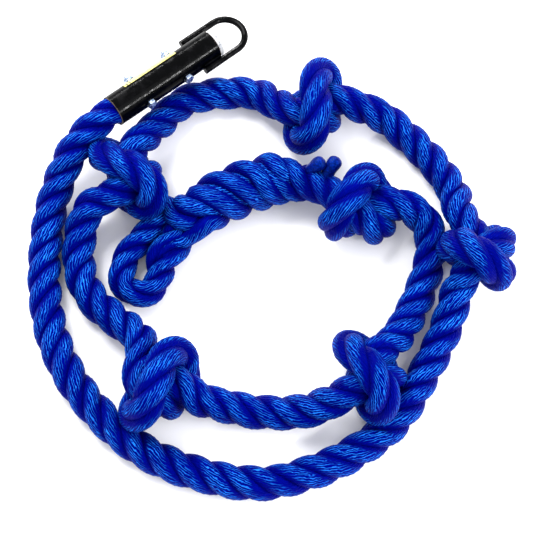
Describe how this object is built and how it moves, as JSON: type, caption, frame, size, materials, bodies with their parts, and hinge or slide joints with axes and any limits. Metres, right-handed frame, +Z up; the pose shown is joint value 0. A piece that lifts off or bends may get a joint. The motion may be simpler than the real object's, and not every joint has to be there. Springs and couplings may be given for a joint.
{
  "type": "knotted climbing rope",
  "caption": "Thick blue three-strand climbing rope tied with overhand knots, lying in two loose turns, with a black bolted tube clamp and hanging eye at one end and a spliced eye at the other.",
  "frame": {"origin": "middle of the footprint of the whole object as it lies, on the floor", "axes": "+Z up from the floor the rope lies on; +Y across the ring, towards the clamp and the knots beside it; +X to the right when looking down with +Y away from the viewer"},
  "size_m": [0.5518, 0.591, 0.0967],
  "materials": {
    "rope": "bright royal-blue synthetic filament, satin sheen",
    "clamp": "gloss black, worn to grey along its edges",
    "fasteners": "bright zinc",
    "label": null,
    "tape": "whitish woven tape"
  },
  "bodies": {
    "root": {"bolt_1": "fasteners", "bolt_2": "fasteners", "clamp_tube": "clamp", "end_tape": "tape", "eye_bail": "clamp", "knot_1": "rope", "knot_2": "rope", "knot_3": "rope", "knot_4": "rope", "knot_5": "rope", "knot_6": "rope", "nut_1": "fasteners", "nut_2": "fasteners", "plain_label": "label", "rope_clamp_to_knot_1": "rope", "rope_in_clamp": "rope", "rope_knot_1_to_2": "rope", "rope_knot_2_to_3": "rope", "rope_knot_3_to_4": "rope", "rope_knot_4_to_5": "rope", "rope_knot_5_to_6": "rope", "splice_body": "rope", "splice_eye": "rope", "splice_tail_1": "rope", "splice_tail_2": "rope", "washer_1": "fasteners", "washer_2": "fasteners", "weld_left_lower": "clamp", "weld_left_upper": "clamp", "weld_right_lower": "clamp", "weld_right_upper": "clamp"}
  },
  "joints": []
}
